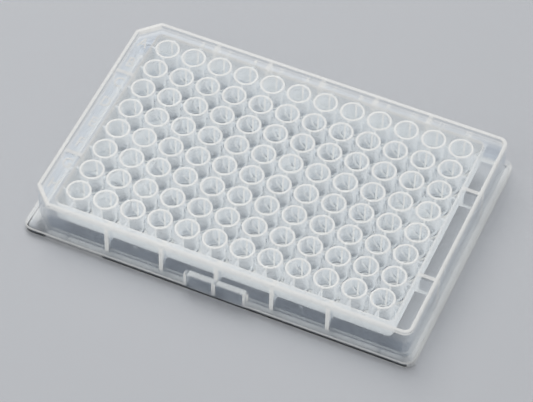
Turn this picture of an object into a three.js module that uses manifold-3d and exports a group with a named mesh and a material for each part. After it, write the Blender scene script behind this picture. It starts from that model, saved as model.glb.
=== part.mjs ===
// A 96-well microplate: one thin-walled moulding in natural polypropylene.
//
// Millimetres, +Z up. The origin is at the middle of the footprint, on the
// surface that the plate stands on. +X runs along the twelve columns, away from
// column 1, and +Y runs from row H to row A.

import * as THREE from 'three';
import { mergeVertices } from 'three/addons/utils/BufferGeometryUtils.js';
import Module from 'manifold-3d';

const wasm = await Module();
wasm.setup();

// ---------------------------------------------------------------------------
// Driving dimensions
// ---------------------------------------------------------------------------

// Footprint and height.
const plateLength = 127.76;
const plateWidth = 85.48;
const plateHeight = 14.35;
const wallThickness = 1.1;

// Stepped skirt around the foot.
const flangeHeight = 2.41;
const flangeCornerRadius = 3.18;
const ledgeWidth = 1.9;

// Body: the two corners at column 1 are cut off, the other two are rounded.
const bodyChamfer = 6.2;
const bodyCornerRadius = 3.0;

// Sunken border between the outer rim and the recess.
const rimAboveBorder = 1.35;
const borderThickness = 1.0;

// Well grid.
const columnCount = 12;
const rowCount = 8;
const wellPitch = 9.0;
const wellGap = 1.2;
const wellWall = 0.7;
const wellBelowRim = 0.15;
const wellGroundClearance = 2.1;
const wellBottomThickness = 0.8;
const wellBottomRise = 1.6;

// Recess that the wells stand in.
const recessEndMargin = 1.6;
const recessSideMargin = 2.0;
const recessCornerRadius = 1.8;
const recessWall = 0.85;
const recessDraft = 0.9;
const floorUnderside = 4.9;
const floorThickness = 1.0;

// Thin webs that tie the outermost wells to the recess wall.
const webThickness = 0.5;
const webBelowWell = 1.6;

// Gussets under the border, with a narrow leg down the inside of the skirt.
const gussetPitch = 18.0;
const longSideGussets = 5;
const shortSideGussets = 2;
const shortSideGussetPitch = 36.0;
const gussetThickness = 1.3;
const legWidth = 0.9;
const legDepth = 1.0;
const legGroundClearance = 1.2;

// Shallow box in the middle of the front skirt, flush with the flange.
const padLength = 20.6;
const padHeight = 7.2;
const padOffset = 0.3;

// Small ribs inside the front flange and ejector pips inside the front wall.
const flangeRibPositions = [-49.5, 52.8];
const flangeRibThickness = 0.7;
const flangeRibClearance = 0.3;
const pipPositions = [-27.0, 27.0];
const pipDiameter = 1.3;
const pipHeight = 7.2;
const pipRise = 0.25;

// Facets in a full turn of a well, in a pip and in a quarter turn of a corner.
const wellFacets = 8;
const pipFacets = 6;
const cornerFacets = 3;

// Length by which joined solids run into each other, and cutters run past a face.
const bite = 0.4;

// ---------------------------------------------------------------------------
// Derived sizes
// ---------------------------------------------------------------------------

// Positions of `count` things, `pitch` apart, centred on zero.
function spread(count, pitch) {
  return Array.from({ length: count }, (_, i) => (i - (count - 1) / 2) * pitch);
}

const borderTop = plateHeight - rimAboveBorder;
const borderUnderside = borderTop - borderThickness;
const bodyLength = plateLength - 2 * ledgeWidth;
const bodyWidth = plateWidth - 2 * ledgeWidth;
const innerHalfLength = bodyLength / 2 - wallThickness;
const innerHalfWidth = bodyWidth / 2 - wallThickness;

const wellOuterRadius = (wellPitch - wellGap) / 2;
const boreRadius = wellOuterRadius - wellWall;
const wellTop = plateHeight - wellBelowRim;
const boreBottom = wellGroundClearance + wellBottomThickness;
const webTop = wellTop - webBelowWell;

const columnPositions = spread(columnCount, wellPitch);
const rowPositions = spread(rowCount, wellPitch);
const lastColumn = columnPositions.at(-1);
const lastRow = rowPositions.at(-1);

const floorTop = floorUnderside + floorThickness;
const recessHalfLength = lastColumn + wellOuterRadius + recessEndMargin;
const recessHalfWidth = lastRow + wellOuterRadius + recessSideMargin;

// ---------------------------------------------------------------------------
// Geometry helpers
// ---------------------------------------------------------------------------

// Corner radius of a regular polygon that has the area of a circle.
function facetRadius(radius, facets) {
  const turn = 2 * Math.PI / facets;
  return radius * Math.sqrt(turn / Math.sin(turn));
}

// Closed three.js geometry to a solid that can be joined and cut.
function toSolid(geometry) {
  geometry.deleteAttribute('normal');
  geometry.deleteAttribute('uv');
  const merged = mergeVertices(geometry, 1e-5);
  const index = merged.index.array;
  const triangles = [];
  for (let i = 0; i < index.length; i += 3) {
    const [a, b, c] = [index[i], index[i + 1], index[i + 2]];
    if (a !== b && b !== c && c !== a) triangles.push(a, b, c);
  }
  return new wasm.Manifold(new wasm.Mesh({
    numProp: 3,
    vertProperties: Float32Array.from(merged.attributes.position.array),
    triVerts: Uint32Array.from(triangles),
  }));
}

function toGeometry(solid) {
  const mesh = solid.getMesh();
  const geometry = new THREE.BufferGeometry();
  geometry.setAttribute('position', new THREE.BufferAttribute(mesh.vertProperties, 3));
  geometry.setIndex(new THREE.BufferAttribute(mesh.triVerts, 1));
  geometry.computeVertexNormals();
  return geometry;
}

// Box between two opposite corners.
function box(x0, x1, y0, y1, z0, z1) {
  const geometry = new THREE.BoxGeometry(x1 - x0, y1 - y0, z1 - z0);
  geometry.translate((x0 + x1) / 2, (y0 + y1) / 2, (z0 + z1) / 2);
  return toSolid(geometry);
}

// Upright prism. With draft, the outline draws in by that much at its foot.
function prism(outline, z0, z1, draft = 0) {
  const options = { depth: z1 - z0, bevelEnabled: false, curveSegments: cornerFacets };
  const geometry = new THREE.ExtrudeGeometry(outline, options);
  geometry.translate(0, 0, z0);
  const point = geometry.attributes.position;
  for (let i = 0; i < point.count; i += 1) {
    const atFoot = point.getZ(i) < (z0 + z1) / 2;
    if (atFoot) {
      point.setX(i, point.getX(i) - Math.sign(point.getX(i)) * draft);
      point.setY(i, point.getY(i) - Math.sign(point.getY(i)) * draft);
    }
  }
  return toSolid(geometry);
}

// Upright turned solid from [radius, height] points, listed from the bottom up.
function turned(profile, facets) {
  const points = profile.map(([r, z]) => new THREE.Vector2(r && facetRadius(r, facets), z));
  const geometry = new THREE.LatheGeometry(points, facets, Math.PI / facets);
  geometry.rotateX(Math.PI / 2);
  return toSolid(geometry);
}

// Rectangle with four round corners.
function roundOutline(halfLength, halfWidth, radius) {
  const shape = new THREE.Shape();
  const [x, y] = [halfLength - radius, halfWidth - radius];
  shape.absarc(x, y, radius, 0, Math.PI / 2);
  shape.absarc(-x, y, radius, Math.PI / 2, Math.PI);
  shape.absarc(-x, -y, radius, Math.PI, 1.5 * Math.PI);
  shape.absarc(x, -y, radius, 1.5 * Math.PI, 2 * Math.PI);
  shape.closePath();
  return shape;
}

// Outline of the body, drawn in by `inset` on every side.
function bodyOutline(inset) {
  const [x, y] = [bodyLength / 2 - inset, bodyWidth / 2 - inset];
  const radius = Math.max(bodyCornerRadius - inset, bodyCornerRadius / 4);
  const cut = bodyChamfer - inset * (2 - Math.SQRT2);
  const shape = new THREE.Shape();
  shape.absarc(x - radius, y - radius, radius, 0, Math.PI / 2);
  shape.lineTo(cut - x, y);
  shape.lineTo(-x, y - cut);
  shape.lineTo(-x, cut - y);
  shape.lineTo(cut - x, -y);
  shape.absarc(x - radius, radius - y, radius, 1.5 * Math.PI, 2 * Math.PI);
  shape.closePath();
  return shape;
}

// ---------------------------------------------------------------------------
// Features of the moulding
// ---------------------------------------------------------------------------

// Skirt, flange and border as one open-bottomed shell.
function makeShell() {
  const body = prism(bodyOutline(0), 0, plateHeight);
  const flange = prism(
    roundOutline(plateLength / 2, plateWidth / 2, flangeCornerRadius), 0, flangeHeight);
  const flangeHollow = prism(
    roundOutline(
      plateLength / 2 - wallThickness,
      plateWidth / 2 - wallThickness,
      flangeCornerRadius - wallThickness),
    -bite, flangeHeight - wallThickness);
  const bodyHollow = prism(bodyOutline(wallThickness), -bite, borderUnderside);
  const rimHollow = prism(bodyOutline(wallThickness), borderTop, plateHeight + bite);
  return body.add(flange).subtract(flangeHollow).subtract(bodyHollow).subtract(rimHollow);
}

// Box in the front skirt: the wall steps out to the flange there.
function addPad(shell) {
  const front = -plateWidth / 2;
  const [x0, x1] = [padOffset - padLength / 2, padOffset + padLength / 2];
  const outer = box(x0, x1, front, -innerHalfWidth, 0, padHeight);
  const hollow = box(
    x0 + wallThickness, x1 - wallThickness,
    front + wallThickness, -innerHalfWidth + bite,
    -bite, padHeight - wallThickness);
  return shell.add(outer).subtract(hollow);
}

// Outline of the recess at border level, grown by `wall` on every side.
function recessOutline(wall) {
  return roundOutline(
    recessHalfLength + wall, recessHalfWidth + wall, recessCornerRadius + wall);
}

function makeRecessTub() {
  return prism(recessOutline(recessWall), floorUnderside, borderTop, recessDraft);
}

function makeRecessPocket() {
  const pocketDraft = recessDraft * (borderTop - floorTop) / (borderTop - floorUnderside);
  const mouth = prism(recessOutline(0), borderTop - bite, plateHeight + bite);
  return prism(recessOutline(0), floorTop, borderTop, pocketDraft).add(mouth);
}

// One gusset and its leg, reaching from x = inner (in the tub) to x = outer (in the wall).
function makeGusset(inner, outer) {
  const half = gussetThickness / 2;
  const legHalf = legWidth / 2;
  const plate = box(inner, outer + bite, -half, half, floorUnderside, borderTop - bite);
  const leg = box(
    outer - legDepth, outer + bite, -legHalf, legHalf,
    legGroundClearance, floorUnderside + bite);
  return plate.add(leg);
}

function makeGussets() {
  const solids = [];
  for (const side of [-90, 90]) {
    const gusset = makeGusset(recessHalfWidth - recessDraft, innerHalfWidth);
    for (const x of spread(longSideGussets, gussetPitch)) {
      solids.push(gusset.rotate([0, 0, side]).translate([x, 0, 0]));
    }
  }
  for (const side of [0, 180]) {
    const gusset = makeGusset(recessHalfLength - recessDraft, innerHalfLength);
    for (const y of spread(shortSideGussets, shortSideGussetPitch)) {
      solids.push(gusset.rotate([0, 0, side]).translate([0, y, 0]));
    }
  }
  return wasm.Manifold.union(solids);
}

// Gusset in the pad, from the skirt out to the face of the pad.
function makePadGusset() {
  const half = legWidth / 2;
  return box(
    -half, half, -plateWidth / 2 + bite, -innerHalfWidth + legDepth,
    legGroundClearance, padHeight - bite);
}

function makeFlangeRibs() {
  const half = flangeRibThickness / 2;
  return wasm.Manifold.union(flangeRibPositions.map((x) => box(
    x - half, x + half, -plateWidth / 2 + bite, -innerHalfWidth,
    flangeRibClearance, flangeHeight - bite)));
}

function makePips() {
  const radius = pipDiameter / 2;
  const pip = turned([[0, -bite], [radius, -bite], [radius, pipRise], [0, pipRise]], pipFacets);
  return wasm.Manifold.union(pipPositions.map(
    (x) => pip.rotate([-90, 0, 0]).translate([x, -innerHalfWidth, pipHeight])));
}

// Webs from each outermost well to the recess wall. The tub trims their outer ends.
function makeWebs() {
  const half = webThickness / 2;
  const z = [floorTop - bite, webTop];
  const [wallX, wallY] = [recessHalfLength + bite, recessHalfWidth + bite];
  const solids = [];
  for (const y of rowPositions) {
    solids.push(box(-wallX, -lastColumn, y - half, y + half, ...z));
    solids.push(box(lastColumn, wallX, y - half, y + half, ...z));
  }
  for (const x of columnPositions) {
    solids.push(box(x - half, x + half, -wallY, -lastRow, ...z));
    solids.push(box(x - half, x + half, lastRow, wallY, ...z));
  }
  return wasm.Manifold.union(solids).intersect(makeRecessTub());
}

function atEachWell(solid) {
  return wasm.Manifold.union(columnPositions.flatMap(
    (x) => rowPositions.map((y) => solid.translate([x, y, 0]))));
}

// Outside of a well: upright wall above the floor, domed bottom below it.
function makeWellBodies() {
  return atEachWell(turned([
    [0, wellGroundClearance],
    [wellOuterRadius, floorUnderside],
    [wellOuterRadius, wellTop],
    [0, wellTop],
  ], wellFacets));
}

function makeWellBores() {
  return atEachWell(turned([
    [0, boreBottom],
    [boreRadius, boreBottom + wellBottomRise],
    [boreRadius, wellTop + bite],
    [0, wellTop + bite],
  ], wellFacets));
}

function makeWellPlate() {
  return addPad(makeShell())
    .add(makeRecessTub())
    .add(makeGussets())
    .add(makePadGusset())
    .add(makeFlangeRibs())
    .add(makePips())
    .subtract(makeRecessPocket())
    .add(makeWebs())
    .add(makeWellBodies())
    .subtract(makeWellBores());
}

// ---------------------------------------------------------------------------
// Scene graph
// ---------------------------------------------------------------------------

const naturalPolypropylene = new THREE.MeshStandardMaterial({
  name: 'natural_polypropylene',
  color: 0xdde5ea,
  roughness: 0.35,
  metalness: 0,
});

const wellPlate = new THREE.Mesh(toGeometry(makeWellPlate()), naturalPolypropylene);
wellPlate.name = 'well_plate';

const plate = new THREE.Group();
plate.add(wellPlate);

export default plate;
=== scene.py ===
"""A 96-well microplate in natural polypropylene: one thin-walled moulding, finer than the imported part.

Shapes are worked out in millimetres and scaled to metres as the last step. +Z is up, the plate stands
on z = 0, +X runs along the twelve columns away from column 1, and +Y runs from row H to row A.
"""

import math

import bmesh
import bpy
import numpy as np
from mathutils import Matrix, Vector
from mathutils.bvhtree import BVHTree


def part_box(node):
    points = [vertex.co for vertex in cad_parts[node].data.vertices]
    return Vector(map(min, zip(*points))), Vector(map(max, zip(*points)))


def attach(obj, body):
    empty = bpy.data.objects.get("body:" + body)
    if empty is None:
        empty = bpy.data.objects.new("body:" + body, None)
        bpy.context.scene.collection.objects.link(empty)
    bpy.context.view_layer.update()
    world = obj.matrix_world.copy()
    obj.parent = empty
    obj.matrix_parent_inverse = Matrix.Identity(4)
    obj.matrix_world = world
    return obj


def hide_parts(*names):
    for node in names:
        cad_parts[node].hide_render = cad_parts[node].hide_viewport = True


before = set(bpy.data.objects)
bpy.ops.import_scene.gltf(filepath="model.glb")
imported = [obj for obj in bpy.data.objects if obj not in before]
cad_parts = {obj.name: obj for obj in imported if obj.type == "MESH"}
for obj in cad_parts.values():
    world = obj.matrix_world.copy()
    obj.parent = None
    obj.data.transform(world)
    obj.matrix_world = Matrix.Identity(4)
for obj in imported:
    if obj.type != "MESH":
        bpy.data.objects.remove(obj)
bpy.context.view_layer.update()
MM = 0.001
NODE = "well_plate"
foot_corner, top_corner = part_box(NODE)

# ---------------------------------------------------------------------------
# Driving dimensions, in millimetres
# ---------------------------------------------------------------------------

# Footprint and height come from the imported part.
plate_length = (top_corner.x - foot_corner.x) / MM
plate_width = (top_corner.y - foot_corner.y) / MM
plate_height = top_corner.z / MM
wall = 1.1

# Stepped skirt around the foot.
flange_height = 2.41
flange_corner_radius = 3.18
ledge_width = 1.9

# Body: the two corners at column 1 are cut off, the other two are rounded. It starts inside the flange.
body_foot = 0.5
body_chamfer = 6.2
body_corner_radius = 3.0
chamfer_edge_radius = 0.8

# Sunken border between the outer rim and the recess.
rim_above_border = 1.35
border_thickness = 1.0

# Well grid.
column_count = 12
row_count = 8
well_pitch = 9.0
well_gap = 1.2
well_wall = 0.7
well_below_rim = 0.15
well_ground_clearance = 2.1
well_bottom_thickness = 0.8

# Fillet at the foot of each well. It starts inside the floor, and stops short of the next well's fillet.
well_foot_fillet = 1.0
fillet_stop = 0.02
fillet_root_low = 0.3
fillet_root_high = 0.5

# Recess that the wells stand in.
recess_end_margin = 1.6
recess_side_margin = 2.0
recess_corner_radius = 1.8
recess_wall = 0.85
recess_draft = 0.9
recess_floor_radius = 0.5
tray_foot_radius = 0.35
floor_underside = 4.9
floor_thickness = 1.0

# Thin webs that tie each well to its neighbours and to the recess wall.
web_thickness = 0.5
web_below_well = 1.6

# Gussets under the border, with a narrow leg down the inside of the skirt.
gusset_pitch = 18.0
long_side_gussets = 5
short_side_gussets = 2
short_side_gusset_pitch = 36.0
gusset_thickness = 1.3
gusset_taper = 0.08
leg_width = 0.9
leg_depth = 1.0
leg_ground_clearance = 1.2
leg_tip_height = 0.3
leg_tip_taper = 0.2
leg_tip_share = 0.7

# Shallow box in the middle of the front skirt. Its back lies inside the wall of the body.
pad_length = 20.6
pad_height = 7.2
pad_offset = 0.3
pad_setback = 0.02
pad_edge_radius = 0.6
pad_ground_clearance = 0.3
pad_back_cover = 0.3

# Small ribs inside the front flange and ejector pips inside the front wall.
flange_rib_positions = (-49.5, 52.8)
flange_rib_thickness = 0.7
flange_rib_clearance = 0.3
pip_positions = (-27.0, 27.0)
pip_diameter = 1.3
pip_height = 7.2
pip_rise = 0.25
pip_shoulder_share = 0.6
pip_face_share = 0.7

# Raised row letters on the border at column 1, and column numbers along row A.
row_letters = "ABCDEFGH"
letter_height = 3.9
letter_stretch = 0.8
letter_rise = 0.3
number_height = 1.75
number_offset = 0.1
mark_sink = 0.3

# Edge rounding. Corners that shrink with their outline keep at least these radii.
rim_radius = 0.25
well_rim_radius = 0.2
foot_radius = 0.3
ledge_radius = 0.4
inside_fillet = 0.3
least_body_corner = 0.5
least_corner = 0.3
least_pad_corner = 0.1

# Points on a rounded edge: how far its middle, or each third, lies from the two faces, in radii.
arc_middle = 0.29
arc_third_near = 0.13
arc_third_far = 0.5
fillet_middle = 0.09

# Fineness, and the heights above the floor of the rings around a well's wall.
well_facets = 32
corner_facets = 7
pad_corner_facets = 3
pip_facets = 16
bowl_steps = 5
fillet_steps = 4
letter_resolution = 3
bore_ring_heights = (0.4, 0.7, 1.1)
upper_wall_height = 3.4

# Joined solids run into each other by bite. The others keep faces and points apart, or tell them apart.
bite = 0.4
apart = 0.1
near = 0.05
hair = 0.01
weld = 1e-4

# ---------------------------------------------------------------------------
# Derived sizes, in millimetres
# ---------------------------------------------------------------------------


def spread(count, pitch):
    """Positions of count things, pitch apart, centred on zero."""
    return [(i - (count - 1) / 2) * pitch for i in range(count)]


border_top = plate_height - rim_above_border
border_underside = border_top - border_thickness
body_length = plate_length - 2 * ledge_width
body_width = plate_width - 2 * ledge_width
inner_half_length = body_length / 2 - wall
inner_half_width = body_width / 2 - wall

well_radius = (well_pitch - well_gap) / 2
bore_radius = well_radius - well_wall
well_top = plate_height - well_below_rim
bore_bottom = well_ground_clearance + well_bottom_thickness
web_top = well_top - web_below_well
web_sink = 0.5 * well_wall

columns = spread(column_count, well_pitch)
rows = spread(row_count, well_pitch)
long_side_places = spread(long_side_gussets, gusset_pitch)
short_side_places = spread(short_side_gussets, short_side_gusset_pitch)

floor_top = floor_underside + floor_thickness
recess_half_length = columns[-1] + well_radius + recess_end_margin
recess_half_width = rows[-1] + well_radius + recess_side_margin
recess_slope = recess_draft / (border_top - floor_underside)

# ---------------------------------------------------------------------------
# Solids as points and faces
# ---------------------------------------------------------------------------


def round_polygon(corners, radii, steps=corner_facets):
    """Outline of a convex polygon, counter-clockwise, with an arc of its own radius at each corner."""
    outline = []
    for i, corner in enumerate(corners):
        at = np.array(corner, float)
        back = np.array(corners[i - 1], float) - at
        ahead = np.array(corners[(i + 1) % len(corners)], float) - at
        back /= np.linalg.norm(back)
        ahead /= np.linalg.norm(ahead)
        half = math.acos(np.clip(back @ ahead, -1, 1)) / 2
        middle = (back + ahead) / np.linalg.norm(back + ahead)
        centre = at + middle * radii[i] / math.sin(half)
        start = at + back * radii[i] / math.tan(half) - centre
        sweep = math.pi - 2 * half
        for step in range(steps + 1):
            turn = sweep * step / steps
            c, s = math.cos(turn), math.sin(turn)
            x = centre[0] + c * start[0] - s * start[1]
            y = centre[1] + s * start[0] + c * start[1]
            outline.append((x, y))
    return outline


def rectangle(x0, x1, y0, y1):
    """Corners of a rectangle, counter-clockwise."""
    return [(x0, y0), (x1, y0), (x1, y1), (x0, y1)]


def round_rectangle(half_length, half_width, radius):
    """Outline of a rectangle around the origin with the same arc at each corner."""
    return round_polygon(rectangle(-half_length, half_length, -half_width, half_width), [radius] * 4)


def body_outline(grow):
    """Outline of the body, pushed out by grow on every side."""
    x, y = body_length / 2 + grow, body_width / 2 + grow
    cut = body_chamfer + grow * (2 - math.sqrt(2))
    round_corner = max(body_corner_radius + grow, least_body_corner)
    cut_corner = max(chamfer_edge_radius + grow, least_corner)
    corners = [(x, -y), (x, y), (cut - x, y), (-x, y - cut), (-x, cut - y), (cut - x, -y)]
    return round_polygon(corners, [round_corner] * 2 + [cut_corner] * 4)


def flange_outline(grow):
    """Outline of the flange, pushed out by grow on every side."""
    return round_rectangle(plate_length / 2 + grow, plate_width / 2 + grow, flange_corner_radius + grow)


def recess_outline(grow):
    """Outline of the recess at the border, pushed out by grow on every side."""
    radius = max(recess_corner_radius + grow, least_corner)
    return round_rectangle(recess_half_length + grow, recess_half_width + grow, radius)


def pad_outline(grow):
    """Outline of the shallow box, pushed out by grow to the front and the sides."""
    half = pad_length / 2 + grow
    front = -plate_width / 2 + pad_setback - grow
    back = -inner_half_width - pad_back_cover
    front_corner = max(pad_edge_radius + grow, least_pad_corner)
    corners = rectangle(pad_offset - half, pad_offset + half, front, back)
    return round_polygon(corners, [front_corner] * 2 + [least_pad_corner] * 2, pad_corner_facets)


def loft(levels, foot=None):
    """Closed solid through (outline, z) levels with equal point counts, from the bottom up.

    With foot, the bottom closes in a fan to that point and not in a flat face.
    """
    count = len(levels[0][0])
    points = [(x, y, z) for outline, z in levels for x, y in outline]
    faces = []
    for start in range(0, count * (len(levels) - 1), count):
        for i in range(count):
            j = (i + 1) % count
            faces.append((start + i, start + j, start + count + j, start + count + i))
    faces.append(tuple(range(len(points) - count, len(points))))
    if foot is None:
        faces.append(tuple(reversed(range(count))))
    else:
        points.append(foot)
        faces.extend((len(points) - 1, (i + 1) % count, i) for i in range(count))
    return np.array(points, float), faces


def stack(outline, levels):
    """Solid from an outline function and (z, grow) levels."""
    return loft([(outline(grow), z) for z, grow in levels])


def box(x0, x1, y0, y1, z0, z1):
    """Upright block between two corners."""
    outline = rectangle(x0, x1, y0, y1)
    return loft([(outline, z0), (outline, z1)])


def turned(profile, foot_z, facets=well_facets):
    """Upright turned solid from (radius, z) points above a point at foot_z."""
    turns = [(i + 0.5) * 2 * math.pi / facets for i in range(facets)]
    levels = [([(r * math.cos(a), r * math.sin(a)) for a in turns], z) for r, z in profile]
    return loft(levels, foot=(0.0, 0.0, foot_z))


def bowl(radius, centre_z):
    """(radius, z) points of a half ball's underside, without its lowest point."""
    angles = [math.pi / 2 * (i + 1) / bowl_steps for i in range(bowl_steps)]
    return [(radius * math.sin(a), centre_z - radius * math.cos(a)) for a in angles]


def moved(solid, x=0.0, y=0.0, z=0.0, turn=0.0):
    """Copy of a solid, turned about Z by turn degrees and then moved."""
    points, faces = solid
    c, s = math.cos(math.radians(turn)), math.sin(math.radians(turn))
    return points @ np.array([[c, s, 0], [-s, c, 0], [0, 0, 1]]) + (x, y, z), faces


def together(solids):
    """Several solids that don't touch, as one."""
    points, faces, offset = [], [], 0
    for solid_points, solid_faces in solids:
        points.append(solid_points)
        faces.extend(tuple(i + offset for i in face) for face in solid_faces)
        offset += len(solid_points)
    return np.vstack(points), faces


def to_object(solid, name):
    """New Blender object from a solid."""
    points, faces = solid
    mesh = bpy.data.meshes.new(name)
    mesh.from_pydata(points.tolist(), [], faces)
    mesh.update()
    piece = bpy.data.objects.new(name, mesh)
    bpy.context.scene.collection.objects.link(piece)
    return piece


def combine(piece, solid, operation):
    """Joins a solid to the piece or cuts it away."""
    tool = to_object(solid, "tool")
    modifier = piece.modifiers.new("step", "BOOLEAN")
    modifier.operation = operation
    modifier.solver = "MANIFOLD"
    modifier.object = tool
    graph = bpy.context.evaluated_depsgraph_get()
    mesh = bpy.data.meshes.new_from_object(piece.evaluated_get(graph))
    piece.modifiers.clear()
    piece.data = mesh
    bpy.data.objects.remove(tool)


# ---------------------------------------------------------------------------
# Features of the moulding
# ---------------------------------------------------------------------------


def body_block():
    """Outside of the body, with a fillet on the ledge and a rounded rim."""
    top, r, middle = plate_height, rim_radius, arc_middle * rim_radius
    return stack(body_outline, [
        (body_foot, inside_fillet), (flange_height, inside_fillet),
        (flange_height + fillet_middle, fillet_middle), (flange_height + inside_fillet, 0.0),
        (top - r, 0.0), (top - middle, -middle), (top, -r)])


def flange_block():
    """Outside of the flange, with a rounded foot and ledge."""
    top, r, middle = flange_height, ledge_radius, arc_middle * ledge_radius
    return stack(flange_outline, [
        (0.0, -foot_radius), (foot_radius, 0.0), (top - r, 0.0), (top - middle, -middle), (top, -r)])


def flange_hollow():
    """Space inside the flange."""
    top = flange_height - wall
    return stack(flange_outline, [
        (-bite, -wall), (top - inside_fillet, -wall), (top, -wall - inside_fillet)])


def body_hollow():
    """Space inside the body, up to the border."""
    top = border_underside
    return stack(body_outline, [
        (-bite, -wall), (top - inside_fillet, -wall),
        (top - fillet_middle, -wall - fillet_middle), (top, -wall - inside_fillet)])


def rim_hollow():
    """Space above the border, inside the rim."""
    top, bottom, r, middle = plate_height, border_top, rim_radius, arc_middle * rim_radius
    return stack(body_outline, [
        (bottom, -wall - inside_fillet), (bottom + fillet_middle, -wall - fillet_middle),
        (bottom + inside_fillet, -wall), (top - r, -wall), (top - middle, -wall + middle),
        (top, -wall + r), (top + bite, -wall + r)])


def pad_block():
    """Outside of the shallow box, with a round top edge."""
    top, r = pad_height, pad_edge_radius
    return stack(pad_outline, [
        (pad_ground_clearance, 0.0), (top - r, 0.0), (top - arc_third_far * r, -arc_third_near * r),
        (top - arc_third_near * r, -arc_third_far * r), (top, -r)])


def pad_hollow():
    """Space inside the shallow box."""
    half = pad_length / 2 - wall
    return box(
        pad_offset - half, pad_offset + half, -plate_width / 2 + wall, -inner_half_width + bite,
        -bite, pad_height - wall)


def drafted(levels):
    """(z, grow) levels that also draw in towards the bottom of the recess, by its draft."""
    return [(z, grow - recess_slope * (border_top - z)) for z, grow in levels]


def tub_block():
    """Outside of the recess: its wall and floor, from below."""
    bottom, r, middle, out = floor_underside, tray_foot_radius, arc_middle * tray_foot_radius, recess_wall
    return stack(recess_outline, drafted([
        (bottom, out - r), (bottom + middle, out - middle), (bottom + r, out), (border_top - bite, out)]))


def recess_pocket():
    """Space inside the recess, with a rounded mouth."""
    bottom, r, middle = floor_top, recess_floor_radius, arc_middle * recess_floor_radius
    sloped = drafted([
        (bottom, -r), (bottom + middle, -middle), (bottom + r, 0.0),
        (border_top - inside_fillet, 0.0), (border_top - fillet_middle, fillet_middle),
        (border_top, inside_fillet)])
    return stack(recess_outline, sloped + [(plate_height + bite, inside_fillet)])


def gusset(inner, outer):
    """One gusset and its leg, reaching from x = inner in the tub to x = outer at the skirt."""
    half, leg = gusset_thickness / 2, leg_width / 2
    tip_half, foot_half = leg - leg_tip_taper, half - gusset_taper
    leg_end = outer + bite - apart
    leg_tip = rectangle(outer - leg_tip_share * leg_depth, leg_end, -tip_half, tip_half)
    leg_foot = rectangle(outer - leg_depth, leg_end, -leg, leg)
    plate_foot = rectangle(inner, outer + bite, -foot_half, foot_half)
    plate_top = rectangle(inner, outer + bite, -half, half)
    return loft([
        (leg_tip, leg_ground_clearance), (leg_foot, leg_ground_clearance + leg_tip_height),
        (leg_foot, floor_underside), (plate_foot, floor_underside + apart),
        (plate_top, border_top - bite)])


def gussets():
    """All gussets, on the four sides."""
    solids = []
    long_side = gusset(recess_half_width - recess_draft, inner_half_width)
    short_side = gusset(recess_half_length - recess_draft, inner_half_length)
    for turn in (-90, 90):
        solids += [moved(long_side, x=x, turn=turn) for x in long_side_places]
    for turn in (0, 180):
        solids += [moved(short_side, y=y, turn=turn) for y in short_side_places]
    return together(solids)


def pad_gusset():
    """Gusset in the middle of the shallow box."""
    half = leg_width / 2
    return box(
        -half, half, -plate_width / 2 + bite, -inner_half_width + leg_depth,
        leg_ground_clearance, pad_height - bite)


def flange_ribs():
    """Small ribs inside the front flange."""
    half = flange_rib_thickness / 2
    return together([
        box(x - half, x + half, -plate_width / 2 + bite, -inner_half_width,
            flange_rib_clearance, flange_height - bite)
        for x in flange_rib_positions])


def pips():
    """Round ejector pips that stand a little off the inner face of the front wall."""
    radius, face = pip_diameter / 2, -inner_half_width
    profile = [
        (radius, 0.0), (radius, bite + pip_shoulder_share * pip_rise),
        (pip_face_share * radius, bite + pip_rise)]
    points, faces = turned(profile, 0.0, pip_facets)
    lying = np.column_stack([points[:, 0], points[:, 2], -points[:, 1]]) + (0, face - bite, pip_height)
    return together([moved((lying, faces), x=x) for x in pip_positions])


def inner_webs():
    """Webs between neighbouring wells, in line with the rows and the columns."""
    half, reach = web_thickness / 2, well_gap / 2 + web_sink
    along = box(-reach, reach, -half, half, floor_top - bite, web_top)
    across = moved(along, turn=90)
    solids = [moved(along, x + well_pitch / 2, y) for x in columns[:-1] for y in rows]
    solids += [moved(across, x, y + well_pitch / 2) for x in columns for y in rows[:-1]]
    return together(solids)


def outer_webs():
    """Webs from each outermost well to the recess wall."""
    half = web_thickness / 2
    z = (floor_top - bite, web_top)
    solids = []
    for side in (-1, 1):
        x = sorted((side * (columns[-1] + well_radius - web_sink), side * recess_half_length))
        y = sorted((side * (rows[-1] + well_radius - web_sink), side * recess_half_width))
        solids += [box(*x, row - half, row + half, *z) for row in rows]
        solids += [box(column - half, column + half, *y, *z) for column in columns]
    return together(solids)


def at_each_well(solid):
    """Copies of a solid, one on the axis of each well."""
    return together([moved(solid, x, y) for x in columns for y in rows])


def well_bodies():
    """Outside of the wells: round bottom, upright wall with a fillet at the floor, and a rounded rim."""
    r, top, edge, middle = well_radius, well_top, well_rim_radius, arc_middle * well_rim_radius
    fillet, reach = well_foot_fillet, well_gap / 2 - fillet_stop
    profile = [(x, z) for x, z in bowl(r, well_ground_clearance + r) if z < floor_underside - near]
    profile += [(r, floor_underside + fillet_root_low), (r + reach, floor_underside + fillet_root_high)]
    start = math.asin(1 - reach / fillet)
    for step in range(fillet_steps + 1):
        turn = start + (math.pi / 2 - start) * step / fillet_steps
        profile.append((r + fillet * (1 - math.sin(turn)), floor_top + fillet * (1 - math.cos(turn))))
    profile += [(r, floor_top + upper_wall_height)]
    profile += [(r, top - edge), (r - middle, top - middle), (r - edge, top)]
    return at_each_well(turned(profile, well_ground_clearance))


def well_bores():
    """Inside of the wells, with rings where the floor and its fillet meet the wall."""
    r, top, edge, middle = bore_radius, well_top, well_rim_radius, arc_middle * well_rim_radius
    profile = bowl(r, bore_bottom + r)
    profile += [(r, floor_top + height) for height in (*bore_ring_heights, upper_wall_height)]
    profile += [(r, top - edge), (r + middle, top - middle), (r + edge, top), (r + edge, top + bite)]
    return at_each_well(turned(profile, bore_bottom))


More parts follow.
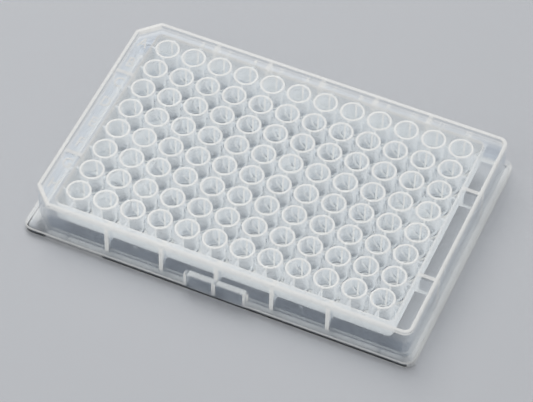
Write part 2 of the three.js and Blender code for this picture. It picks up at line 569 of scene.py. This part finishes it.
def mark(text, height, x, y, stretch=1.0):
    """Raised character, centred on x and y, as a solid that stands in the border."""
    curve = bpy.data.curves.new("mark", "FONT")
    curve.body = text
    curve.extrude = (mark_sink + letter_rise) / 2
    curve.resolution_u = letter_resolution
    shape = bpy.data.objects.new("mark", curve)
    bpy.context.scene.collection.objects.link(shape)
    graph = bpy.context.evaluated_depsgraph_get()
    mesh = bpy.data.meshes.new_from_object(shape.evaluated_get(graph))
    shell = bmesh.new()
    shell.from_mesh(mesh)
    bmesh.ops.remove_doubles(shell, verts=shell.verts, dist=weld)
    points = np.array([vert.co for vert in shell.verts])
    faces = [tuple(vert.index for vert in face.verts) for face in shell.faces]
    shell.free()
    bpy.data.objects.remove(shape)
    low, high = points.min(axis=0), points.max(axis=0)
    scale = height / (high[1] - low[1])
    points = points - (low + high) / 2
    points[:, 0] *= scale * stretch
    points[:, 1] *= scale
    points[:, 2] += (letter_rise - mark_sink) / 2 + border_top
    return points + (x, y, 0), faces


def marks():
    """Row letters beside column 1, and column numbers beside row A."""
    letter_x = -(recess_half_length + inner_half_length) / 2
    number_y = (recess_half_width + inner_half_width) / 2 + number_offset
    solids = [
        mark(letter, letter_height, letter_x, y, letter_stretch)
        for letter, y in zip(row_letters, reversed(rows))]
    solids += [mark(str(i + 1), number_height, x, number_y) for i, x in enumerate(columns)]
    return together(solids)


def mould_plate():
    """The whole plate as one closed mesh, in millimetres."""
    plate = to_object(body_block(), "well_plate_moulding")
    combine(plate, flange_block(), "UNION")
    combine(plate, pad_block(), "UNION")
    for hollow in (flange_hollow(), body_hollow(), rim_hollow(), pad_hollow()):
        combine(plate, hollow, "DIFFERENCE")
    for part in (tub_block(), gussets(), pad_gusset(), flange_ribs(), pips()):
        combine(plate, part, "UNION")
    combine(plate, recess_pocket(), "DIFFERENCE")
    for part in (inner_webs(), outer_webs(), well_bodies()):
        combine(plate, part, "UNION")
    combine(plate, well_bores(), "DIFFERENCE")
    combine(plate, marks(), "UNION")
    return plate


# ---------------------------------------------------------------------------
# Depth of plastic behind each face, with a painted glow on some edges, which the material reads
# ---------------------------------------------------------------------------

# Numbers stored on each face.
DEPTH_AND_GLOW = "plastic_depth_and_painted_glow"
LOW = "near_ground"
# Where the material paints shade on the lower outer wall.
PAINTED_SHADE_SKIRT = "outer_skirt_painted_shade"

# Light in the plastic spreads, so each part of the plate has at least its own depth, in millimetres. On
# the ends of the flange and a ring low in each bore it is set higher than their plastic: a painted glow
# that makes them whiter.
well_depth = 1.48
upper_well_depth = 1.66
bore_foot_depth = 1.55
bore_rise_glow_depth = 2.1
end_flange_glow_depth = 2.1
tray_wall_depth = 2.0

# A level sheet has at most sheet_depth, and a wall as tall as guiding_depth lights up along its top.
sheet_depth = 1.69
guiding_depth = 7.9
longest_depth = 8.0

# Light that comes in level is bent down by this many degrees. A ray into a face starts just behind it.
bent_down = 31
refracted_slope = math.tan(math.radians(bent_down))
ray_start = 1e-3
least_way_in = 0.2

# Faces that meet at less than this many degrees are shaded as one round surface.
smooth_angle = 40

# How level a face is, as the upward part of its normal.
level_face = 0.95
upright_face = 0.5
mouth_upright = 0.1
mouth_level = 0.98

# Reach of the zones that faces are sorted into, in millimetres.
low_height = 5.0
bore_foot_height = 0.95
foot_edge_height = 0.8
foot_edge_reach = 0.4
tray_wall_reach = 1.0
mouth_reach = 0.3
mouth_drop = 0.25
mark_reach = 0.4
number_reach = 0.15
outside_wells_reach = 1.2
cut_corner_wall = 1.5 * wall

# Faces larger than this are split as well, in square millimetres, and slivers count as this large.
large_face = 50
sliver = 1e-9

# Share of the ground's shade that the border gets from below.
border_share = 0.75


def split_at(shell, point, normal, keep):
    """Cuts the faces that keep(face) accepts along a plane, so that each keeps one depth."""
    faces = [face for face in shell.faces if keep(face)]
    edges = {edge for face in faces for edge in face.edges}
    verts = {vert for face in faces for vert in face.verts}
    parts = faces + list(edges) + list(verts)
    bmesh.ops.bisect_plane(shell, geom=parts, plane_co=point, plane_no=normal, dist=weld)


def beyond(middle, half_length, half_width):
    """True outside an upright box of these half sizes around the origin."""
    return abs(middle.x) > half_length or abs(middle.y) > half_width


def outside_wells(face):
    """True for a face beside the grid of wells, and for a large one anywhere."""
    half_length = recess_half_length - outside_wells_reach
    half_width = recess_half_width - outside_wells_reach
    return beyond(face.calc_center_bounds(), half_length, half_width) or face.calc_area() > large_face


def on_pad(face):
    """True for a face of the shallow box."""
    middle = face.calc_center_bounds()
    return middle.y < -body_width / 2 - apart and abs(middle.x - pad_offset) < pad_length / 2


def split_large_faces(piece):
    """Splits the faces around the wells along each wall and gusset that stands behind them."""
    shell = bmesh.new()
    shell.from_mesh(piece.data)
    half = gusset_thickness / 2
    for x in long_side_places:
        for edge in (x - half, x + half):
            split_at(shell, (edge, 0, 0), (1, 0, 0), outside_wells)
    for y in short_side_places:
        for edge in (y - half, y + half):
            split_at(shell, (0, edge, 0), (0, 1, 0), outside_wells)
    for side in (-1, 1):
        for x in (inner_half_length, recess_half_length + recess_wall):
            split_at(shell, (side * x, 0, 0), (1, 0, 0), outside_wells)
        for y in (inner_half_width, recess_half_width + recess_wall):
            split_at(shell, (0, side * y, 0), (0, 1, 0), outside_wells)
    drop = wall * refracted_slope
    levels = [border_underside, border_top, border_top + drop, floor_top, floor_underside]
    levels += [flange_height + drop, flange_height - wall + drop, foot_edge_height]
    for z in levels:
        split_at(shell, (0, 0, z), (0, 0, 1), outside_wells)
    for x in (pad_offset - pad_length / 2 + wall, pad_offset + pad_length / 2 - wall):
        split_at(shell, (x, 0, 0), (1, 0, 0), on_pad)
    split_at(shell, (0, -plate_width / 2 + wall, 0), (0, 1, 0), on_pad)
    split_at(shell, (0, 0, pad_height - wall + drop), (0, 0, 1), on_pad)
    shell.to_mesh(piece.data)
    shell.free()


def depth_behind(tree, middle, normal):
    """How deep the plastic is behind a point, along the way that light bends into it.

    A wall seen from its top edge counts where it is tall enough to guide light up, and a sheet is thin.
    """
    inward = -normal

    def along(direction):
        if direction.dot(inward) < least_way_in:
            return 0.0
        distance = tree.ray_cast(middle + direction * ray_start, direction, longest_depth)[3]
        return longest_depth if distance is None else distance

    if along(Vector((0, 0, -1))) > guiding_depth:
        return longest_depth
    if normal.z > level_face:
        return min(along(inward), sheet_depth)
    level = Vector((inward.x, inward.y, 0.0)).length
    depth = along((inward - Vector((0, 0, refracted_slope * level))).normalized())
    if level < level_face:
        depth = max(depth, along(inward), along(Vector((0, 0, 1))))
    return depth


def within_skirt(middle):
    """True inside the walls of the body."""
    return not beyond(middle, inner_half_length - near, inner_half_width - near)


def in_tray(middle):
    """True on the recess and what stands in it."""
    reach = recess_wall + near
    beside = beyond(middle, recess_half_length + reach, recess_half_width + reach)
    return middle.z < border_top - near and not beside


def on_tray_wall(middle):
    """True on the walls of the recess."""
    outside = beyond(middle, recess_half_length - tray_wall_reach, recess_half_width - tray_wall_reach)
    return outside and in_tray(middle)


def on_tray_edge(middle):
    """True on the edge of the tray floor, which light inside the floor comes out of."""
    return on_tray_wall(middle) and floor_underside < middle.z < floor_top


def on_foot_edge(middle):
    """True on the lowest strip of the outside, where light in the skirt comes out."""
    outside = beyond(middle, plate_length / 2 - foot_edge_reach, plate_width / 2 - foot_edge_reach)
    return outside and middle.z < foot_edge_height


def on_recess_mouth(middle, normal):
    """True on the rounded edge around the recess, which light in the recess wall comes out of."""
    outside = beyond(middle, recess_half_length - mouth_reach, recess_half_width - mouth_reach)
    high = border_top - inside_fillet - mouth_drop < middle.z < border_top - hair
    return outside and high and mouth_upright < normal.z < mouth_level


def on_mark(middle):
    """True on the raised part of a letter or a number."""
    outside = beyond(middle, recess_half_length + mark_reach, recess_half_width + mark_reach)
    past_rim = beyond(middle, inner_half_length - mark_reach, inner_half_width - number_reach)
    return outside and not past_rim and middle.z > border_top + near


def in_well(middle, reach):
    """True within reach of the upright axis of the nearest well."""
    x = middle.x - min(columns, key=lambda column: abs(middle.x - column))
    y = middle.y - min(rows, key=lambda row: abs(middle.y - row))
    return math.hypot(x, y) < reach


def in_bore_foot(middle):
    """True in the rounded bottom of a well, which the tray floor thickens."""
    return middle.z < floor_top + bore_foot_height and in_well(middle, bore_radius + near)


def on_upper_well(middle):
    """True on the upper part of a well's wall."""
    return middle.z > floor_top + upper_wall_height and in_well(middle, well_radius + near)


def least_depth(middle):
    """Depth that a face has at least, by the part of the plate it is on."""
    if middle.z < flange_height + hair and not within_skirt(middle):
        # Painted glow: the ends of the flange are whiter than their depth gives.
        return end_flange_glow_depth if abs(middle.x) > body_length / 2 else 0.0
    if on_tray_wall(middle):
        return tray_wall_depth
    if in_bore_foot(middle):
        # Painted highlight: a ring low in each bore is whiter, for the bright lens that bent light makes
        # there.
        return bore_rise_glow_depth if middle.z > floor_top - apart else bore_foot_depth
    if on_upper_well(middle):
        return upper_well_depth
    return well_depth if in_tray(middle) else 0.0


def depth_at(tree, middle, normal):
    """Depth for one face. Edges that light in the plastic comes out of, and raised marks, get the
    longest, which turns them milky white: a painted glow.
    """
    # Painted glow: the longest depth makes these edges and marks fully milky white.
    if on_tray_edge(middle) or on_foot_edge(middle):
        return longest_depth
    if on_recess_mouth(middle, normal) or on_mark(middle):
        return longest_depth
    return max(depth_behind(tree, middle, normal), least_depth(middle))


def ground_share(face):
    """How much a face shades the ground: fully low down inside and in front, partly under the border."""
    middle = face.center
    if middle.z < low_height:
        return 1.0 if within_skirt(middle) or middle.y < -inner_half_width else 0.0
    under_border = face.normal.z < -level_face and middle.z > border_underside - apart
    return border_share if under_border and within_skirt(middle) else 0.0


def painted_shade_skirt_share(face):
    """1 on the upright faces of the outer wall, cut corners included, and 0 elsewhere. The material
    paints shade on these faces low down.
    """
    middle = face.center
    cut = body_length / 2 + body_width / 2 - body_chamfer - cut_corner_wall
    outside = not within_skirt(middle) or abs(middle.y) - middle.x > cut
    return float(outside and abs(face.normal.z) < upright_face and middle.z > flange_height)


def mean_depths(mesh):
    """Depth behind each face, as the mean of its triangles by area."""
    mesh.calc_loop_triangles()
    points = [vert.co.copy() for vert in mesh.vertices]
    triangles = [tuple(triangle.vertices) for triangle in mesh.loop_triangles]
    tree = BVHTree.FromPolygons(points, triangles)
    total = np.zeros(len(mesh.polygons))
    area = np.zeros(len(mesh.polygons))
    for triangle, corners in zip(mesh.loop_triangles, triangles):
        middle = (points[corners[0]] + points[corners[1]] + points[corners[2]]) / 3
        weight = max(triangle.area, sliver)
        total[triangle.polygon_index] += depth_at(tree, middle, triangle.normal) * weight
        area[triangle.polygon_index] += weight
    return (total / np.maximum(area, sliver)).astype(np.float32)


def store(mesh, name, values):
    """Stores one number on each face, under a name that the material reads."""
    mesh.attributes.new(name, "FLOAT", "FACE").data.foreach_set("value", values)


def store_depths(piece):
    """Stores what the material has to know about each face."""
    mesh = piece.data
    store(mesh, DEPTH_AND_GLOW, mean_depths(mesh))
    store(mesh, LOW, [ground_share(face) for face in mesh.polygons])
    store(mesh, PAINTED_SHADE_SKIRT, [painted_shade_skirt_share(face) for face in mesh.polygons])


def finish_mesh(piece):
    """Scales to metres, smooths what is round and keeps the flat faces flat."""
    mesh = piece.data
    mesh.materials.clear()
    mesh.transform(Matrix.Scale(MM, 4))
    mesh.shade_smooth()
    mesh.set_sharp_from_angle(angle=math.radians(smooth_angle))
    normals = piece.modifiers.new("flat_faces", "WEIGHTED_NORMAL")
    normals.keep_sharp = True


# ---------------------------------------------------------------------------
# Material
# ---------------------------------------------------------------------------

# Natural polypropylene is clear and faintly blue where it is thin, and warm white where it is thick.
thin_milk = (0.91, 0.945, 0.985, 1)
thick_milk = (0.99, 0.98, 0.955, 1)
milk_lean = 0.6

# Haze: the share of light that is scattered, by depth in millimetres, by slant and by cloudiness.
thin_depth = 1.3
thick_depth = 2.4
thin_haze = 0.03
thick_haze = 0.92
polished_depth = 1.35
skirt_edge_haze = 0.25
well_edge_haze = 0.9
edge_start = 0.38
edge_end = 0.86
cloud_share = 0.25
cloud_scale = 90.0
cloud_detail = 3.0
cloud_roughness = 0.5
cloud_low = 0.3
cloud_high = 0.7
haze_in_shadow = 0.07

# Gloss, and the colours of clear walls to look through. The lower skirt gets a painted shade: a darker
# tint there stands in for the shade under the plate seen through it.
gloss_roughness = 0.3
head_on_gloss = 0.04
gloss_power = 5.0
window_tint = (0.98, 0.99, 0.997, 1)
painted_shade_tint = (0.80, 0.83, 0.87, 1)
painted_shade_from = 8.8
painted_shade_to = 9.8

# What the plastic lets through from the lamps: upright walls, level sheets, and low faces.
upright_tint = (0.975, 0.98, 0.98, 1)
level_tint = (0.69, 0.71, 0.73, 1)
ground_shade = (0.12, 0.15, 0.19, 1)
white = (1, 1, 1, 1)


def feed(tree, socket, value):
    """Links a socket where the value is a socket too, and sets it otherwise."""
    if isinstance(value, bpy.types.NodeSocket):
        tree.links.new(value, socket)
    else:
        socket.default_value = value


def node(tree, kind, **inputs):
    """New shader node with its inputs fed by name."""
    made = tree.nodes.new(kind)
    for name, value in inputs.items():
        feed(tree, made.inputs[name.replace("_", " ")], value)
    return made


def maths(tree, operation, first, second=0.0):
    """Result of a Math node."""
    made = tree.nodes.new("ShaderNodeMath")
    made.operation = operation
    feed(tree, made.inputs[0], first)
    feed(tree, made.inputs[1], second)
    return made.outputs[0]


def blended(tree, share, first, second):
    """Colour between first and second."""
    return node(tree, "ShaderNodeMixRGB", Fac=share, Color1=first, Color2=second).outputs[0]


def multiplied(tree, first, second):
    """Product of two colours."""
    made = node(tree, "ShaderNodeMixRGB", Fac=1.0, Color1=first, Color2=second)
    made.blend_type = "MULTIPLY"
    return made.outputs[0]


def mixed(tree, share, first, second):
    """Shader between first and second."""
    made = tree.nodes.new("ShaderNodeMixShader")
    for socket, value in zip(made.inputs, (share, first, second)):
        feed(tree, socket, value)
    return made.outputs[0]


def ramp(tree, value, start, end, low, high, kind="LINEAR"):
    """Carries value from start...end over to low...high, held at both ends."""
    made = node(tree, "ShaderNodeMapRange", Value=value)
    made.interpolation_type = kind
    for name, number in (("From Min", start), ("From Max", end), ("To Min", low), ("To Max", high)):
        made.inputs[name].default_value = number
    return made.outputs[0]


def stored(tree, name):
    """Number stored on the face."""
    made = tree.nodes.new("ShaderNodeAttribute")
    made.attribute_name = name
    return made.outputs["Fac"]


def object_place(tree):
    """Place in the object's own frame."""
    return tree.nodes.new("ShaderNodeTexCoord").outputs["Object"]


def surface_normal(tree):
    """Surface normal at the shaded point."""
    return tree.nodes.new("ShaderNodeNewGeometry").outputs["Normal"]


def slant(tree):
    """0 where the surface is met head on, and 1 where it is met edge on."""
    return node(tree, "ShaderNodeLayerWeight", Blend=0.5).outputs["Facing"]


def cloudy_haze(tree):
    """Share of light that is scattered: little where it is thin, more where it is deep or met aslant."""
    depth = stored(tree, DEPTH_AND_GLOW)
    cloud = node(
        tree, "ShaderNodeTexNoise", Vector=object_place(tree),
        Scale=cloud_scale, Detail=cloud_detail, Roughness=cloud_roughness).outputs[0]
    thin = ramp(
        tree, cloud, cloud_low, cloud_high,
        1 - thin_haze * (1 - cloud_share), 1 - thin_haze * (1 + cloud_share))
    thick = ramp(tree, depth, thin_depth, thick_depth, 1.0, 1 - thick_haze, "SMOOTHSTEP")
    aslant = ramp(tree, slant(tree), edge_start, edge_end, 0.0, 1.0, "SMOOTHSTEP")
    edge_share = ramp(tree, depth, polished_depth, well_depth, skirt_edge_haze, well_edge_haze)
    edge = maths(tree, "SUBTRACT", 1.0, maths(tree, "MULTIPLY", aslant, edge_share))
    clear = maths(tree, "MULTIPLY", maths(tree, "MULTIPLY", thin, thick), edge)
    haze = maths(tree, "SUBTRACT", 1.0, clear)
    to_lamp = tree.nodes.new("ShaderNodeLightPath").outputs["Is Shadow Ray"]
    return maths(tree, "MULTIPLY", haze, ramp(tree, to_lamp, 0.0, 1.0, 1.0, haze_in_shadow))


def lamp_way(tree):
    """Way through for light from a lamp. Level sheets, which face the lamps, hold more of it back."""
    height = node(tree, "ShaderNodeSeparateXYZ", Vector=surface_normal(tree)).outputs["Z"]
    upward = maths(tree, "ABSOLUTE", height)
    shade = blended(tree, stored(tree, LOW), white, ground_shade)
    tint = multiplied(tree, blended(tree, upward, upright_tint, level_tint), shade)
    return node(tree, "ShaderNodeBsdfTransparent", Color=tint).outputs[0]


def wall_tint_and_painted_shade(tree):
    """Colour of a wall to look through, with a painted shade low down in the skirt that stands in for the
    shade under the plate.
    """
    height = node(tree, "ShaderNodeSeparateXYZ", Vector=object_place(tree)).outputs["Z"]
    # Painted shade: the outer skirt is tinted darker below this height.
    low = ramp(tree, height, painted_shade_from * MM, painted_shade_to * MM, 1.0, 0.0, "SMOOTHSTEP")
    share = maths(tree, "MULTIPLY", stored(tree, PAINTED_SHADE_SKIRT), low)
    return blended(tree, share, window_tint, painted_shade_tint)


def clear_pane(tree):
    """A thin wall lets light straight through, and mirrors more of it the flatter it strikes."""
    glancing = maths(tree, "POWER", slant(tree), gloss_power)
    mirrored = ramp(tree, glancing, 0.0, 1.0, head_on_gloss, 1.0)
    gloss = node(tree, "ShaderNodeBsdfGlossy", Color=white, Roughness=gloss_roughness)
    window = node(tree, "ShaderNodeBsdfTransparent", Color=wall_tint_and_painted_shade(tree))
    glass = mixed(tree, mirrored, window.outputs[0], gloss.outputs[0])
    path = tree.nodes.new("ShaderNodeLightPath")
    straight = maths(tree, "MAXIMUM", path.outputs["Is Shadow Ray"], path.outputs["Is Diffuse Ray"])
    return mixed(tree, straight, glass, lamp_way(tree))


def leaning(tree, lean):
    """Surface normal that leans up, or down for a negative lean, because light spreads inside plastic."""
    lifted = tree.nodes.new("ShaderNodeVectorMath")
    tree.links.new(surface_normal(tree), lifted.inputs[0])
    lifted.inputs[1].default_value = (0.0, 0.0, lean)
    unit = tree.nodes.new("ShaderNodeVectorMath")
    unit.operation = "NORMALIZE"
    tree.links.new(lifted.outputs[0], unit.inputs[0])
    return unit.outputs[0]


def milk(tree):
    """Scattered light: half of it comes back, and half goes through."""
    thickness = ramp(tree, stored(tree, DEPTH_AND_GLOW), thin_depth, thick_depth, 0.0, 1.0)
    colour = blended(tree, thickness, thin_milk, thick_milk)
    front = node(tree, "ShaderNodeBsdfDiffuse", Color=colour, Normal=leaning(tree, milk_lean))
    through = node(tree, "ShaderNodeBsdfTranslucent", Color=colour, Normal=leaning(tree, -milk_lean))
    return mixed(tree, 0.5, front.outputs[0], through.outputs[0])


def natural_polypropylene():
    """Milky clear plastic: thin walls show what is behind them, and thick places and edges turn white."""
    material = bpy.data.materials.new("natural_polypropylene")
    material.use_nodes = True
    tree = material.node_tree
    tree.nodes.clear()
    output = tree.nodes.new("ShaderNodeOutputMaterial")
    tree.links.new(mixed(tree, cloudy_haze(tree), clear_pane(tree), milk(tree)), output.inputs["Surface"])
    return material


# ---------------------------------------------------------------------------
# Stage, in metres and degrees
# ---------------------------------------------------------------------------

floor_colour = (0.47, 0.48, 0.50, 1)
floor_roughness = 0.6
floor_gloss = 0.2
floor_size = 6.0
world_colour = (0.96, 0.975, 1.0, 1)
world_strength = 0.42

# The lens is in millimetres. The camera stands to the front and right of its target, looking down.
lens_mm = 188.07
sensor_mm = 36.0
camera_azimuth = 22.96
camera_elevation = 50.87
camera_roll = 1.121
camera_distance = 0.84637
camera_target = Vector((0.001428, -0.006693, 0.007))
nearest_view = 0.01


def make_floor():
    """Plain pale floor that the plate stands on."""
    half = floor_size / 2
    mesh = bpy.data.meshes.new("floor")
    mesh.from_pydata([(x, y, 0) for x, y in rectangle(-half, half, -half, half)], [], [(0, 1, 2, 3)])
    floor = bpy.data.objects.new("floor", mesh)
    bpy.context.scene.collection.objects.link(floor)
    material = bpy.data.materials.new("floor_paint")
    material.use_nodes = True
    shader = material.node_tree.nodes["Principled BSDF"]
    shader.inputs["Base Color"].default_value = floor_colour
    shader.inputs["Roughness"].default_value = floor_roughness
    shader.inputs["Specular IOR Level"].default_value = floor_gloss
    mesh.materials.append(material)
    return floor


def make_softbox(name, azimuth, elevation, distance, size, power):
    """Square lamp that looks at the plate from a compass angle (0 = behind, 90 = right) and a height."""
    lamp = bpy.data.lights.new(name, "AREA")
    lamp.size = size
    lamp.energy = power
    holder = bpy.data.objects.new(name, lamp)
    a, e = math.radians(azimuth), math.radians(elevation)
    place = Vector((math.sin(a) * math.cos(e), math.cos(a) * math.cos(e), math.sin(e))) * distance
    holder.location = place
    holder.rotation_euler = place.to_track_quat("Z", "Y").to_euler()
    bpy.context.scene.collection.objects.link(holder)


def make_lights():
    """Main softbox at the back left, one overhead and a weak one in front."""
    make_softbox("key_softbox", azimuth=-44, elevation=51, distance=1.5, size=1.1, power=12.6)
    make_softbox("top_softbox", azimuth=60, elevation=80, distance=1.6, size=1.2, power=5.0)
    make_softbox("front_softbox", azimuth=-150, elevation=40, distance=1.5, size=0.8, power=2.5)


def make_world():
    """Even light from all around."""
    world = bpy.data.worlds.new("studio")
    world.use_nodes = True
    background = world.node_tree.nodes["Background"]
    background.inputs["Color"].default_value = world_colour
    background.inputs["Strength"].default_value = world_strength
    bpy.context.scene.world = world


def make_camera():
    """Camera from the front, a little to the right, looking down on the plate."""
    a, e, r = (math.radians(angle) for angle in (camera_azimuth, camera_elevation, camera_roll))
    back = Vector((math.sin(a) * math.cos(e), -math.cos(a) * math.cos(e), math.sin(e)))
    level = Vector((math.cos(a), math.sin(a), 0))
    upward = back.cross(level)
    right = level * math.cos(r) + upward * math.sin(r)
    up = upward * math.cos(r) - level * math.sin(r)
    lens = bpy.data.cameras.new("camera")
    lens.lens = lens_mm
    lens.sensor_width = sensor_mm
    lens.clip_start = nearest_view
    camera = bpy.data.objects.new("camera", lens)
    camera.rotation_euler = Matrix((right, up, back)).transposed().to_euler()
    camera.location = camera_target + back * camera_distance
    bpy.context.scene.collection.objects.link(camera)
    bpy.context.scene.camera = camera


def set_light_paths():
    """Enough bounces for light to pass the many clear walls, and a denoiser that keeps to the picture."""
    cycles = bpy.context.scene.cycles
    cycles.denoising_input_passes = "RGB"
    cycles.max_bounces = 48
    cycles.diffuse_bounces = 32
    cycles.glossy_bounces = 16
    cycles.transmission_bounces = 48
    cycles.transparent_max_bounces = 128
    cycles.caustics_reflective = False
    cycles.caustics_refractive = False


# ---------------------------------------------------------------------------
# The scene
# ---------------------------------------------------------------------------

plate = mould_plate()
split_large_faces(plate)
store_depths(plate)
finish_mesh(plate)
plate.data.materials.append(natural_polypropylene())
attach(plate, "root")
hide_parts(NODE)

make_floor()
make_lights()
make_world()
make_camera()
set_light_paths()
bpy.context.scene.view_settings.view_transform = "Standard"
